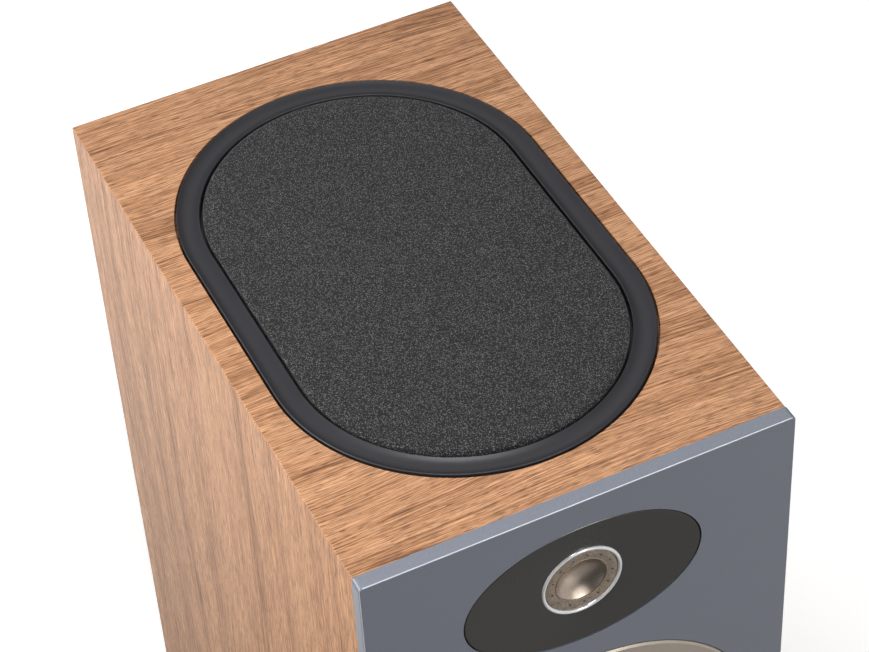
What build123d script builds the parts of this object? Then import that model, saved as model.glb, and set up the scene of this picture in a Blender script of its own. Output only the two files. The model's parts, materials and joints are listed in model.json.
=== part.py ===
from build123d import *
import math
import os

# Bookshelf loudspeaker with an upward-firing height driver under a cloth grille in its top.
# Frame: +X to the right, the front faces -Y, +Z up. Millimetres.
# The origin is the centre of the bottom of the object's bounding box.

# ---------------------------------------------------------------- driving dimensions
# cabinet
cabinet_width = 210.0
cabinet_depth = 334.3
cabinet_height = 432.0
board = 15.0
arris = 0.7
foot_height = 6.0
front_panel_thickness = 7.5
front_panel_side_overhang = 0.5
front_panel_top_overhang = 1.2
front_panel_corner = 2.5
front_panel_edge = 0.9
ring_proud = 1.0
post_protrusion = 24.2

# places that follow from the cabinet
total_depth = ring_proud + front_panel_thickness + cabinet_depth + post_protrusion
panel_front = -total_depth / 2 + ring_proud
wood_front = panel_front + front_panel_thickness
wood_back = wood_front + cabinet_depth
cabinet_bottom = foot_height
cabinet_top = cabinet_bottom + cabinet_height
inner_half_width = cabinet_width / 2 - board
baffle_back = wood_front + board
back_panel_inner = wood_back - board

# stadium opening in the top: two half circles joined by straight sides along Y
opening_radius = 91.8
opening_half_straight = 50.3
opening_y = wood_front + 163.6
rebate_depth = 6.0
well_hole_radius = 82.0

# dished trim ring
ring_outer = 90.6
ring_inner = 79.6
ring_ledge_inner = 70.0
ring_outer_rise = 0.7
ring_valley = -0.9
ring_inner_rise = 0.2
ring_bottom = -8.5
ledge_top = -6.0

# grille
cloth_outer = 78.1
cloth_thickness = 0.6
cloth_top = 0.9
grille_bottom = -5.0
grille_rib = 4.0
magnet_radius = 3.2
magnet_height = 3.0

# height well and chamber
well_outer = 81.2
well_wall = 3.0
well_lip_depth = 4.0
well_flange = 88.0
tilt = 20.0
floor_drop = 72.0
floor_thickness = 4.0
chamber_radius = 60.0
chamber_wall = 3.0
chamber_depth = 67.0
chamber_flange = 70.0

# tweeter
tweeter_z = cabinet_top - 52.5
plate_half_width = 58.6
plate_half_height = 37.0
plate_gap = 0.6
plate_depth = 5.0
tweeter_ring_outer = 20.05
tweeter_ring_inner = 18.2
tweeter_ring_shoulder = -2.1
tweeter_ring_crown = -1.35
foam_radius = 17.95
foam_seat = -3.4
dimples = 13
dimple_circle = 15.1
dome_radius = 12.2
dome_depth = 4.6
housing_flange = 29.5
housing_radius = 23.0
tweeter_floor = -31.0
tweeter_thread_depth = 2.2

# woofer
woofer_z = cabinet_top - 195.3
woofer_ring_outer = 90.0
woofer_ring_inner = 76.5
woofer_ring_gap = 0.6
flange_recess = 3.0
driver_screw_radius = 2.0
driver_head_radius = 3.6

# case screws
case_screw_radius = 1.75
case_head_radius = 3.4
case_head_height = 2.2

# port
port_z = 215.0
port_inner = 25.0
port_wall = 2.5
port_length = 140.0
port_collar = 38.0
port_flare = 44.0

# terminals
terminal_z = 78.0
terminal_half = 44.0
terminal_thickness = 3.0
post_spacing = 19.05
post_pair_spacing = 38.1
stem_radius = 4.0
banana_radius = 2.05
banana_depth = 16.0
knob_radius = 8.6
knob_end = 1.6
knob_mouth_radius = 3.05
collar_thickness = 1.6
washer_radius = 7.0
washer_thickness = 1.6
knob_length = post_protrusion - terminal_thickness - collar_thickness - washer_thickness
stem_top = post_protrusion - terminal_thickness - knob_end - 0.4

# internal leads
lead_radius = 1.4
lead_x = post_spacing / 2


class Driver:
    """Sizes of a cone driver. Heights are measured outwards from its flange's front face."""

    def __init__(self, **sizes):
        self.__dict__.update(sizes)


woofer = Driver(flange=84.0, flange_thickness=3.6, seat=76.4, seat_drop=1.6, wall_top=71.5, wall=2.5,
                roll_outer=72.5, roll_inner=61.5, roll_rise=4.6, rubber=0.8, cone_glue=59.0,
                cone_rim=61.4, neck=16.95, neck_drop=26.0, cone_bow=3.0, cone_wall=0.9,
                cap=21.0, cap_rise=6.0, former_inner=16.4, former_outer=16.85, former_top=-24.0, coil_outer=17.4,
                coil_top=-45.0, coil_bottom=-59.0, spider_z=-36.0, spider_outer=48.0, landing=44.0,
                waves=9, wave_rise=1.5, wall_bottom=51.0, base_top=-46.5, base=-49.0, base_hole=19.0,
                gap_radius=18.0, plate=50.0, plate_thickness=6.0, magnet=48.5, magnet_inner=25.0,
                magnet_thickness=18.0, yoke=47.5, yoke_thickness=6.0, pole=15.7, vent=5.0,
                windows=6, window_width=34.0, screws=6, screw_circle=80.2, counterbore=2.2,
                screw_length=16.0, tag_side=-1, tag_height=7.0)

height = Driver(flange=64.0, flange_thickness=3.0, seat=57.6, seat_drop=1.3, wall_top=53.4, wall=2.2,
                roll_outer=54.0, roll_inner=45.0, roll_rise=3.6, rubber=0.7, cone_glue=43.0,
                cone_rim=44.9, neck=12.95, neck_drop=18.0, cone_bow=2.0, cone_wall=0.8,
                cap=16.0, cap_rise=4.5, former_inner=12.4, former_outer=12.85, former_top=-16.5, coil_outer=13.3,
                coil_top=-32.5, coil_bottom=-42.0, spider_z=-26.0, spider_outer=36.0, landing=32.5,
                waves=7, wave_rise=1.2, wall_bottom=38.5, base_top=-33.8, base=-36.0, base_hole=14.5,
                gap_radius=13.9, plate=38.0, plate_thickness=4.0, magnet=37.0, magnet_inner=19.0,
                magnet_thickness=11.0, yoke=36.0, yoke_thickness=4.5, pole=11.7, vent=3.0,
                windows=4, window_width=30.0, screws=4, screw_circle=60.6, counterbore=0.0, screw_length=6.5,
                tag_side=1, tag_height=5.0)

# ---------------------------------------------------------------- frames of the drivers
# each has its +Z along the way the driver faces
woofer_frame = Plane(origin=(0, panel_front + flange_recess, woofer_z), x_dir=(1, 0, 0), z_dir=(0, -1, 0))
tweeter_frame = Plane(origin=(0, panel_front, tweeter_z), x_dir=(1, 0, 0), z_dir=(0, -1, 0))
floor_normal = (0, -math.sin(math.radians(tilt)), math.cos(math.radians(tilt)))
floor_frame = Plane(origin=(0, opening_y, cabinet_top - floor_drop), x_dir=(1, 0, 0), z_dir=floor_normal)
height_frame = floor_frame.offset(height.flange_thickness)
panel_face = Plane(origin=(0, panel_front, woofer_z), x_dir=(1, 0, 0), z_dir=(0, -1, 0))
terminal_frame = Plane(origin=(0, wood_back, terminal_z), x_dir=(-1, 0, 0), z_dir=(0, 1, 0))
port_frame = Plane(origin=(0, wood_back, port_z), x_dir=(-1, 0, 0), z_dir=(0, 1, 0))


# ---------------------------------------------------------------- helpers
def place(plane, shape):
    return plane.location * shape


def turned(*points):
    """A closed (radius, height) outline turned about Z."""
    outline = Polyline(*[(radius, 0, z) for radius, z in points], close=True)
    return revolve(make_face(outline), axis=Axis.Z)


def turned_edges(*pieces):
    """A closed outline of curves in the XZ plane turned about Z."""
    outline = Curve() + list(pieces)
    return revolve(make_face(outline), axis=Axis.Z)


def line(start, end):
    return Line((start[0], 0, start[1]), (end[0], 0, end[1]))


def arc(start, middle, end):
    return ThreePointArc((start[0], 0, start[1]), (middle[0], 0, middle[1]), (end[0], 0, end[1]))


def disc(radius, low, high, at=(0, 0)):
    return Pos(at[0], at[1], (low + high) / 2) * Cylinder(radius, high - low)


def tube(outer, inner, low, high, at=(0, 0)):
    return disc(outer, low, high, at) - disc(inner, low - 1, high + 1, at)


def block(low, high):
    size = [b - a for a, b in zip(low, high)]
    middle = [(a + b) / 2 for a, b in zip(low, high)]
    return Pos(*middle) * Box(*size)


def stadium(radius, low, high):
    """A stadium-shaped slab in the top opening, at heights measured from the cabinet's top."""
    shape = SlotCenterToCenter(2 * opening_half_straight, 2 * radius, rotation=90)
    return Pos(0, opening_y, cabinet_top + low) * extrude(shape, high - low)


def stadium_tube(outer, inner, low, high):
    return stadium(outer, low, high) - stadium(inner, low - 1, high + 1)


def stadium_points(radius, straight_steps, end_angles):
    """Points at one distance from the stadium's spine: along its sides and round its ends."""
    points = []
    for side in (1, -1):
        for y in straight_steps:
            points.append((side * radius, opening_y + y))
        for angle in end_angles:
            x = radius * math.cos(math.radians(angle))
            y = radius * math.sin(math.radians(angle))
            points.append((x, opening_y + side * (opening_half_straight + y)))
    return points


def circle_points(radius, count, first_angle=0.0):
    return [(radius * math.cos(math.radians(first_angle + 360 * i / count)),
             radius * math.sin(math.radians(first_angle + 360 * i / count))) for i in range(count)]


def circles(shape, radius):
    """The circular edges of one radius, lowest first."""
    edges = shape.edges().filter_by(GeomType.CIRCLE)
    return edges.filter_by(lambda edge: abs(edge.radius - radius) < 0.01).sort_by(Axis.Z)


def sphere_radius(rim, depth):
    return (rim * rim + depth * depth) / (2 * depth)


def save(name, *shapes):
    """Write one node: a single solid, or a group of separate solids."""
    solids = []
    for shape in shapes:
        solids += shape.solids()
    node = solids[0] if len(solids) == 1 else Compound(children=solids)
    node.label = name
    export_step(node, f"parts/{name}.step")


# ---------------------------------------------------------------- screws
def pan_screw(shank_radius, head_radius, head_height, length):
    """A socket-head screw whose head stands on z = 0 and whose shank points down."""
    head = fillet(disc(head_radius, 0, head_height).edges().group_by(Axis.Z)[-1], head_height * 0.35)
    shank = disc(shank_radius, -length, 0)
    tip = chamfer(shank.edges().group_by(Axis.Z)[0], shank_radius * 0.4)
    socket = extrude(RegularPolygon(head_radius * 0.45, 6), head_height)
    return head + tip - Pos(0, 0, head_height * 0.4) * socket


def driver_screw(length):
    return pan_screw(driver_screw_radius, driver_head_radius, 2.2, length)


def case_screw(length):
    return pan_screw(case_screw_radius, case_head_radius, case_head_height, length)


ring_screw_points = stadium_points(74.0, (-30, 30), (45, 135))
chamber_screw_points = circle_points(65.0, 6, 30)
terminal_screw_offset = terminal_half - 6.0
terminal_screw_points = [(x, y) for x in (-terminal_screw_offset, terminal_screw_offset)
                         for y in (-terminal_screw_offset, terminal_screw_offset)]
foot_points = [(x, y) for x in (-84, 84) for y in (wood_front + 24, wood_back - 24)]
board_points = [(x, y) for x in (-52, 52) for y in (-12, 62)]
tweeter_screw_points = [(x, z) for x in (-46, 46) for z in (-9, 9)]
tweeter_screw_length = front_panel_thickness + board - plate_depth + tweeter_thread_depth
ring_screw_seat = ledge_top - 1.2
height_lead = (8.0, 41.0)


# ---------------------------------------------------------------- cabinet
def mitred_board(length, from_y, to_y):
    """A board lying flat with its outer face on z = 0, its ends mitred and their outer edges eased."""
    half = length / 2
    mitre = math.radians(45)
    mid_arc = math.radians(90) - mitre / 2
    corners = []
    for side in (-1, 1):
        start = (side * (half - arris), 0)
        middle = (side * (half - arris + arris * math.cos(mid_arc)), arris * (math.sin(mid_arc) - 1))
        end = (side * (half - arris + arris * math.cos(mitre)), arris * (math.sin(mitre) - 1))
        corners.append((start, middle, end))
    (left_start, left_middle, left_end), (right_start, right_middle, right_end) = corners
    left_inner = (-half + board, -board)
    right_inner = (half - board, -board)
    outline = Curve() + [
        line(left_start, right_start), arc(right_start, right_middle, right_end),
        line(right_end, right_inner), line(right_inner, left_inner),
        line(left_inner, left_end), arc(left_end, left_middle, left_start)]
    return Pos(0, from_y, 0) * extrude(make_face(outline), to_y - from_y, dir=(0, 1, 0))


def side_panel(side):
    panel = mitred_board(cabinet_height, wood_front, wood_back)
    turned_up = Rot(0, 90 * side, 0) * panel
    return Pos(side * cabinet_width / 2, 0, cabinet_bottom + cabinet_height / 2) * turned_up


def top_panel():
    panel = Pos(0, 0, cabinet_top) * mitred_board(cabinet_width, wood_front, wood_back)
    return panel - stadium(opening_radius, -rebate_depth, 1) - stadium(well_hole_radius, -board - 1, 1)


def bottom_panel():
    panel = Pos(0, 0, cabinet_bottom) * Rot(0, 180, 0) * mitred_board(cabinet_width, wood_front, wood_back)
    for x, y in foot_points:
        panel -= disc(case_screw_radius, cabinet_bottom - 1, cabinet_bottom + 10, (x, y))
    for x, y in board_points:
        panel -= disc(case_screw_radius, cabinet_bottom + 7, cabinet_bottom + board + 1, (x, y))
    return panel


def inner_rectangle(from_y, to_y):
    low = (-inner_half_width, from_y, cabinet_bottom + board)
    high = (inner_half_width, to_y, cabinet_top - board)
    return block(low, high)


def back_panel():
    panel = inner_rectangle(back_panel_inner, wood_back)
    panel -= place(port_frame, disc(port_collar, -board - 1, 1))
    window = terminal_half - 12.0
    panel -= place(terminal_frame, Box(2 * window, 2 * window, 4 * board))
    for point in terminal_screw_points:
        panel -= place(terminal_frame, disc(case_screw_radius, -11, 1, point))
    return panel


def woofer_cut(radius, depth_from, depth_to):
    """A round cut behind the front panel's face, between two depths."""
    return place(panel_face, disc(radius, -depth_to, -depth_from))


def tweeter_fixings(depth_from, depth_to):
    cuts = [disc(driver_screw_radius, -depth_to, -depth_from, point) for point in tweeter_screw_points]
    return [place(tweeter_frame, cut) for cut in cuts]


def woofer_fixings(depth_from, depth_to):
    points = circle_points(woofer.screw_circle, woofer.screws, 30)
    return [place(panel_face, disc(driver_screw_radius, -depth_to, -depth_from, point)) for point in points]


def inner_baffle():
    through = front_panel_thickness + board + 1
    panel = inner_rectangle(wood_front, baffle_back)
    panel -= woofer_cut(73.0, 0, through)
    panel -= place(tweeter_frame, disc(housing_flange + 1.0, -through, 0))
    for cut in tweeter_fixings(0, through) + woofer_fixings(0, 22):
        panel -= cut
    return panel


def front_panel():
    half_width = cabinet_width / 2 + front_panel_side_overhang
    top = cabinet_top + front_panel_top_overhang
    panel = block((-half_width, panel_front, cabinet_bottom), (half_width, wood_front, top))
    upright = panel.edges().filter_by(Axis.Y)
    panel = fillet(upright, front_panel_corner)
    panel = fillet(panel.edges().group_by(Axis.Y)[0], front_panel_edge)
    ellipse = Ellipse(plate_half_width + plate_gap, plate_half_height + plate_gap)
    recess = place(tweeter_frame, Pos(0, 0, -plate_depth) * extrude(ellipse, plate_depth + 1))
    panel -= recess
    panel -= place(tweeter_frame, disc(housing_flange + 1.0, -20, 0))
    panel -= woofer_cut(woofer_ring_outer + woofer_ring_gap, -1, flange_recess)
    panel -= woofer_cut(woofer.flange + 0.5, 0, flange_recess + woofer.flange_thickness)
    panel -= woofer_cut(73.0, 0, front_panel_thickness + 1)
    for cut in tweeter_fixings(0, 20) + woofer_fixings(0, 20):
        panel -= cut
    return panel


def felt_lining():
    """Three loose-laid pads: one on each side wall and one on the back wall above the port."""
    pads = []
    for side in (-1, 1):
        inner = side * (inner_half_width - 0.4)
        outer = side * (inner_half_width - 10.4)
        low = (min(inner, outer), baffle_back + 12, 110)
        high = (max(inner, outer), back_panel_inner - 12, 268)
        pads.append(block(low, high))
    back = block((-70, back_panel_inner - 12.4, 290), (70, back_panel_inner - 0.4, 395))
    return pads + [back]


def rubber_feet():
    feet = []
    for x, y in foot_points:
        foot = chamfer(disc(11.0, 0, foot_height, (x, y)).edges().group_by(Axis.Z)[0], 1.0)
        foot -= disc(4.4, -1, 3.6, (x, y))
        foot -= disc(case_screw_radius, 0, foot_height + 1, (x, y))
        feet.append(foot)
    return feet


# ---------------------------------------------------------------- top: ring, well, chamber, grille
def swept_ring(make_outline):
    """Carry a section round the stadium: two half turns and two straight runs."""
    pieces = []
    for side in (1, -1):
        end_y = opening_y + side * opening_half_straight
        face = make_face(make_outline())
        start = 0 if side == 1 else 180
        turned_face = Pos(0, end_y, cabinet_top) * Rot(0, 0, start) * face
        end_axis = Axis((0, end_y, 0), (0, 0, 1))
        pieces.append(revolve(turned_face, axis=end_axis, revolution_arc=180))
        straight_face = Pos(0, end_y, cabinet_top) * Rot(0, 0, start) * face
        pieces.append(extrude(straight_face, 2 * opening_half_straight, dir=(0, -side, 0)))
    joined = pieces[0]
    for piece in pieces[1:]:
        joined += piece
    return joined


def trim_ring_outline():
    edge = 0.4
    lip = (ring_inner + edge, ring_inner_rise)
    rim = (ring_outer - edge, ring_outer_rise)
    middle = ((ring_inner + ring_outer) / 2, ring_valley)
    rim_corner = (ring_outer - 0.12, ring_outer_rise - 0.12)
    lip_corner = (ring_inner + 0.12, ring_inner_rise - 0.12)
    return Curve() + [
        arc(lip, middle, rim),
        arc(rim, rim_corner, (ring_outer, ring_outer_rise - edge)),
        line((ring_outer, ring_outer_rise - edge), (ring_outer, -rebate_depth)),
        line((ring_outer, -rebate_depth), (well_outer, -rebate_depth)),
        line((well_outer, -rebate_depth), (well_outer, ring_bottom)),
        line((well_outer, ring_bottom), (ring_ledge_inner, ring_bottom)),
        line((ring_ledge_inner, ring_bottom), (ring_ledge_inner, ledge_top)),
        line((ring_ledge_inner, ledge_top), (ring_inner, ledge_top)),
        line((ring_inner, ledge_top), (ring_inner, ring_inner_rise - edge)),
        arc((ring_inner, ring_inner_rise - edge), lip_corner, lip)]


def top_trim_ring():
    ring = swept_ring(trim_ring_outline)
    seat = cabinet_top + ring_screw_seat
    for point in ring_screw_points:
        ring -= disc(case_head_radius + 0.2, seat, cabinet_top + ledge_top + 1, point)
        ring -= disc(case_screw_radius, cabinet_top + ring_bottom - 1, cabinet_top, point)
    return ring


def below_floor(offset):
    """Everything below the sloping floor's top face moved by offset along its normal."""
    return place(floor_frame, Pos(0, 0, offset - 200) * Box(600, 600, 400))


def height_well():
    top = ring_bottom
    body = stadium(well_outer, -170, top) - below_floor(-floor_thickness)
    flange = stadium_tube(well_flange, well_outer - 1, -board - 3, -board)
    inside = stadium(well_outer - well_wall, -171, top - well_lip_depth) - below_floor(0)
    lip_hole = stadium(ring_ledge_inner, -40, top + 1) - below_floor(0)
    well = body + flange - inside - lip_hole
    well -= place(floor_frame, disc(height.wall_top + 1.1, -floor_thickness - 1, 1))
    for point in circle_points(height.screw_circle, height.screws, 45):
        well -= place(floor_frame, disc(driver_screw_radius, -floor_thickness - 1, 1, point))
    for point in chamber_screw_points:
        well -= place(floor_frame, disc(case_screw_radius, -floor_thickness - 1, -1, point))
    for point in ring_screw_points:
        well -= disc(case_screw_radius, cabinet_top + top - well_lip_depth - 1, cabinet_top, point)
    return well


def height_chamber():
    low = -floor_thickness - chamber_depth
    cup = disc(chamber_radius, low, -floor_thickness)
    cup = fillet(cup.edges().group_by(Axis.Z)[0], 6.0)
    cup += disc(chamber_flange, -floor_thickness - 3, -floor_thickness)
    inside = disc(chamber_radius - chamber_wall, low + chamber_wall, 0)
    cup -= fillet(inside.edges().group_by(Axis.Z)[0], 4.0)
    for point in chamber_screw_points:
        cup -= disc(case_screw_radius, -floor_thickness - 4, 0, point)
    lead_x_offset, lead_y_offset = height_lead
    for side in (-1, 1):
        cup -= disc(lead_radius + 0.1, low - 1, low + chamber_wall + 1, (side * lead_x_offset, lead_y_offset))
    return place(floor_frame, cup)


def grille_frame():
    outer = cloth_outer - cloth_thickness
    top = cloth_top - cloth_thickness
    frame = stadium_tube(outer, 68.0, grille_bottom, top)
    rib_top = top - 1.0
    spine = stadium(69.0, grille_bottom + 1, rib_top)
    half_length = opening_half_straight + 70
    ribs = None
    for x in (-35, 0, 35):
        rib = block((x - grille_rib / 2, opening_y - half_length, cabinet_top - 10),
                    (x + grille_rib / 2, opening_y + half_length, cabinet_top + 2))
        ribs = rib if ribs is None else ribs + rib
    for step in (-3, -2, -1, 0, 1, 2, 3):
        y = opening_y + 33 * step
        ribs += block((-70, y - grille_rib / 2, cabinet_top - 10), (70, y + grille_rib / 2, cabinet_top + 2))
    frame += spine & ribs
    magnet_low = cabinet_top + grille_bottom
    for point in ring_screw_points:
        frame -= disc(magnet_radius, magnet_low - 1, magnet_low + magnet_height, point)
    return frame


def grille_cloth():
    """The cloth as a thin cap: a flat top and a skirt down the frame's side, with a rounded edge."""
    outer = stadium(cloth_outer, grille_bottom + 0.8, cloth_top)
    outer = fillet(outer.edges().group_by(Axis.Z)[-1], 1.2)
    inner = stadium(cloth_outer - cloth_thickness, grille_bottom, cloth_top - cloth_thickness)
    return outer - inner


def grille_magnets():
    low = cabinet_top + grille_bottom
    return [disc(magnet_radius, low, low + magnet_height, point) for point in ring_screw_points]


# ---------------------------------------------------------------- cone drivers
def basket(driver):
    d = driver
    ledge = d.landing
    shelf = d.spider_z - 0.5
    inner_low = d.wall_bottom - d.wall
    body = turned(
        (d.seat, 0), (d.flange, 0), (d.flange, -d.flange_thickness), (d.wall_top, -d.flange_thickness),
        (d.wall_top, -d.flange_thickness - 2), (d.wall_bottom, shelf - 2), (d.wall_bottom, d.base),
        (d.base_hole, d.base), (d.base_hole, d.base_top), (inner_low, d.base_top), (inner_low, shelf - 3),
        (ledge, shelf - 3), (ledge, shelf), (inner_low + 0.1, shelf),
        (d.wall_top - d.wall, -d.flange_thickness - 2), (d.wall_top - d.wall, -d.seat_drop),
        (d.seat, -d.seat_drop))
    top = -d.flange_thickness - 5
    low = shelf + 3
    window = Pos(d.wall_top, 0, (top + low) / 2) * Box(40, d.window_width, top - low)
    window = fillet(window.edges().filter_by(Axis.X), 4.0)
    for i in range(d.windows):
        body -= Rot(0, 0, 360 * i / d.windows) * window
    for x, y in circle_points(d.screw_circle, d.screws, 180 / d.screws):
        body -= disc(driver_screw_radius, -d.flange_thickness - 1, 1, (x, y))
        if d.counterbore:
            body -= disc(driver_head_radius + 0.2, -d.counterbore, 1, (x, y))
    tag = block((-d.wall_bottom * 0.3, d.wall_bottom - 1, d.base + 2),
                (d.wall_bottom * 0.3, d.wall_bottom + 5, d.base + 2 + d.tag_height))
    return body + Rot(0, 0, 0 if d.tag_side > 0 else 180) * tag


def surround(driver):
    d = driver
    high = -d.seat_drop + d.rubber
    low = -d.seat_drop
    middle = (d.roll_outer + d.roll_inner) / 2
    outer = d.seat - 0.1
    return turned_edges(
        line((d.cone_glue, low), (d.roll_inner, low)),
        arc((d.roll_inner, low), (middle, low + d.roll_rise), (d.roll_outer, low)),
        line((d.roll_outer, low), (outer, low)),
        line((outer, low), (outer, high)),
        line((outer, high), (d.roll_outer, high)),
        arc((d.roll_outer, high), (middle, high + d.roll_rise), (d.roll_inner, high)),
        line((d.roll_inner, high), (d.cone_glue, high)),
        line((d.cone_glue, high), (d.cone_glue, low)))


def cone(driver):
    d = driver
    rim_top = -d.seat_drop
    rim_low = rim_top - d.cone_wall
    neck_top = -d.neck_drop
    neck_low = neck_top - 1.4 * d.cone_wall
    middle = ((d.cone_glue + d.neck) / 2, (rim_top + neck_top) / 2 - d.cone_bow)
    under = (middle[0] + 0.3, middle[1] - 1.1 * d.cone_wall)
    return turned_edges(
        line((d.cone_rim, rim_top), (d.cone_glue, rim_top)),
        arc((d.cone_glue, rim_top), middle, (d.neck, neck_top)),
        line((d.neck, neck_top), (d.neck, neck_low)),
        arc((d.neck, neck_low), under, (d.cone_glue + 1.2, rim_low)),
        line((d.cone_glue + 1.2, rim_low), (d.cone_rim, rim_low)),
        line((d.cone_rim, rim_low), (d.cone_rim, rim_top)))


def circle_through(a, b, c):
    """Centre and radius of the circle through three (radius, height) points."""
    turn = 2 * (a[0] * (b[1] - c[1]) + b[0] * (c[1] - a[1]) + c[0] * (a[1] - b[1]))
    squares = [p[0] ** 2 + p[1] ** 2 for p in (a, b, c)]
    x = (squares[0] * (b[1] - c[1]) + squares[1] * (c[1] - a[1]) + squares[2] * (a[1] - b[1])) / turn
    z = (squares[0] * (c[0] - b[0]) + squares[1] * (a[0] - c[0]) + squares[2] * (b[0] - a[0])) / turn
    return x, z, math.dist((x, z), a)


def cone_height(driver, radius):
    """Height of the cone's front face at a radius."""
    d = driver
    rim = (d.cone_glue, -d.seat_drop)
    neck = (d.neck, -d.neck_drop)
    middle = ((d.cone_glue + d.neck) / 2, (rim[1] + neck[1]) / 2 - d.cone_bow)
    x, z, r = circle_through(rim, middle, neck)
    side = 1 if middle[1] > z else -1
    return z + side * math.sqrt(r * r - (radius - x) ** 2)


def dust_cap(driver):
    d = driver
    foot = cone_height(d, d.cap) + 0.05
    wall = 0.7
    inner, inner_rise = d.cap - wall, d.cap_rise - wall
    return turned_edges(
        line((0, foot + d.cap_rise), (0, foot + inner_rise)),
        arc((0, foot + inner_rise), cap_middle(inner, inner_rise, foot), (inner, foot)),
        line((inner, foot), (d.cap, foot)),
        arc((d.cap, foot), cap_middle(d.cap, d.cap_rise, foot), (0, foot + d.cap_rise)))


def cap_middle(rim, rise, foot):
    """A point half way out on a spherical cap."""
    radius = sphere_radius(rim, rise)
    half = rim / 2
    return half, foot + rise - radius + math.sqrt(radius * radius - half * half)


def voice_coil(driver):
    d = driver
    return turned(
        (d.former_inner, d.former_top), (d.former_outer, d.former_top), (d.former_outer, d.coil_top),
        (d.coil_outer, d.coil_top), (d.coil_outer, d.coil_bottom), (d.former_inner, d.coil_bottom))


def spider(driver):
    """A corrugated disc between the former and the basket's landing."""
    d = driver
    inner = d.former_outer + 0.1
    wave_start = inner + 1.5
    width = (d.landing - 0.5 - wave_start) / d.waves
    cloth = 0.5
    pieces = []
    for level, sense in ((d.spider_z, 1), (d.spider_z - cloth, -1)):
        path = [line((inner, level), (wave_start, level))]
        for i in range(d.waves):
            start = (wave_start + i * width, level)
            end = (wave_start + (i + 1) * width, level)
            up = d.wave_rise if i % 2 == 0 else -d.wave_rise
            path.append(arc(start, ((start[0] + end[0]) / 2, level + up), end))
        path.append(line((wave_start + d.waves * width, level), (d.spider_outer - 0.3, level)))
        pieces += path
    pieces.append(line((inner, d.spider_z), (inner, d.spider_z - cloth)))
    pieces.append(line((d.spider_outer - 0.3, d.spider_z), (d.spider_outer - 0.3, d.spider_z - cloth)))
    return turned_edges(*pieces)


def top_plate(driver):
    d = driver
    return tube(d.plate, d.gap_radius, d.base - d.plate_thickness, d.base)


def magnet(driver):
    d = driver
    top = d.base - d.plate_thickness
    ring = tube(d.magnet, d.magnet_inner, top - d.magnet_thickness, top)
    return chamfer(circles(ring, d.magnet), 0.8)


def yoke(driver):
    d = driver
    top = d.base - d.plate_thickness - d.magnet_thickness
    body = disc(d.yoke, top - d.yoke_thickness, top)
    body = chamfer(body.edges().group_by(Axis.Z)[0], 1.5)
    body += disc(d.pole, top, d.base)
    return body - disc(d.vent, top - d.yoke_thickness - 1, d.base + 1)


def woofer_trim_ring():
    """A flat ring with a polished bevel at its outer edge and a rounded inner edge."""
    low = 0.0
    high = flange_recess + ring_proud
    bevel = 0.9
    ring = turned(
        (woofer_ring_inner, low), (woofer_ring_outer, low), (woofer_ring_outer, high - bevel),
        (woofer_ring_outer - bevel, high), (woofer_ring_inner, high))
    return fillet(circles(ring, woofer_ring_inner)[-1], 2.0)


# ---------------------------------------------------------------- tweeter
def tweeter_plate():
    rim_z = -0.2
    well_z = -2.3
    well_radius = tweeter_ring_outer + 0.25
    outline = Ellipse(plate_half_width, plate_half_height)
    body = Pos(0, 0, -plate_depth) * extrude(outline, plate_depth + rim_z)
    body = chamfer(body.edges().group_by(Axis.Z)[-1], 0.3)
    rim = Pos(0, 0, rim_z) * Ellipse(plate_half_width - 0.8, plate_half_height - 0.8)
    seat = Pos(0, 0, well_z) * Circle(well_radius)
    dish = loft(Sketch() + [rim, seat], ruled=True)
    body -= dish
    body -= disc(tweeter_ring_outer + 0.05, -plate_depth - 1, 1)
    for point in tweeter_screw_points:
        body -= disc(driver_screw_radius, -plate_depth - 1, -plate_depth + tweeter_thread_depth + 0.4, point)
    return body


def tweeter_ring():
    middle = (tweeter_ring_inner + tweeter_ring_outer) / 2
    shoulder = tweeter_ring_shoulder
    return turned_edges(
        line((tweeter_ring_inner, shoulder), (tweeter_ring_inner, -plate_depth)),
        line((tweeter_ring_inner, -plate_depth), (tweeter_ring_outer, -plate_depth)),
        line((tweeter_ring_outer, -plate_depth), (tweeter_ring_outer, shoulder)),
        arc((tweeter_ring_outer, shoulder), (middle, tweeter_ring_crown), (tweeter_ring_inner, shoulder)))


def tweeter_housing():
    """A flanged cup: the ring and surround sit on its front, the motor stands on its floor."""
    floor = tweeter_floor
    front = -plate_depth
    under = front - 2.5
    cup = turned(
        (housing_flange, front), (housing_flange, under), (housing_radius, under), (housing_radius, floor - 2),
        (0, floor - 2), (0, floor), (housing_radius - 2, floor), (housing_radius - 2, under), (16.4, under),
        (16.4, foam_seat), (17.9, foam_seat), (17.9, front))
    return cup + block((-10, -housing_radius - 4, floor), (10, -housing_radius + 1, floor + 6))


def tweeter_surround():
    """A pressed foam ring with a low crown, a lip round the dome and a circle of dimples."""
    edge = -2.35
    crown = -1.95
    lip = -2.25
    ring = turned_edges(
        line((foam_radius, foam_seat), (foam_radius, edge)),
        arc((foam_radius, edge), (dimple_circle, crown), (13.1, -2.55)),
        line((13.1, -2.55), (12.9, lip)),
        line((12.9, lip), (12.45, lip)),
        line((12.45, lip), (dome_radius + 0.1, -2.9)),
        line((dome_radius + 0.1, -2.9), (13.1, -2.9)),
        line((13.1, -2.9), (16.2, foam_seat)),
        line((16.2, foam_seat), (foam_radius, foam_seat)))
    for x, y in circle_points(dimple_circle, dimples, -3.5):
        ring -= Pos(x, y, crown + 0.15) * Sphere(0.5)
    return ring


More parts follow.
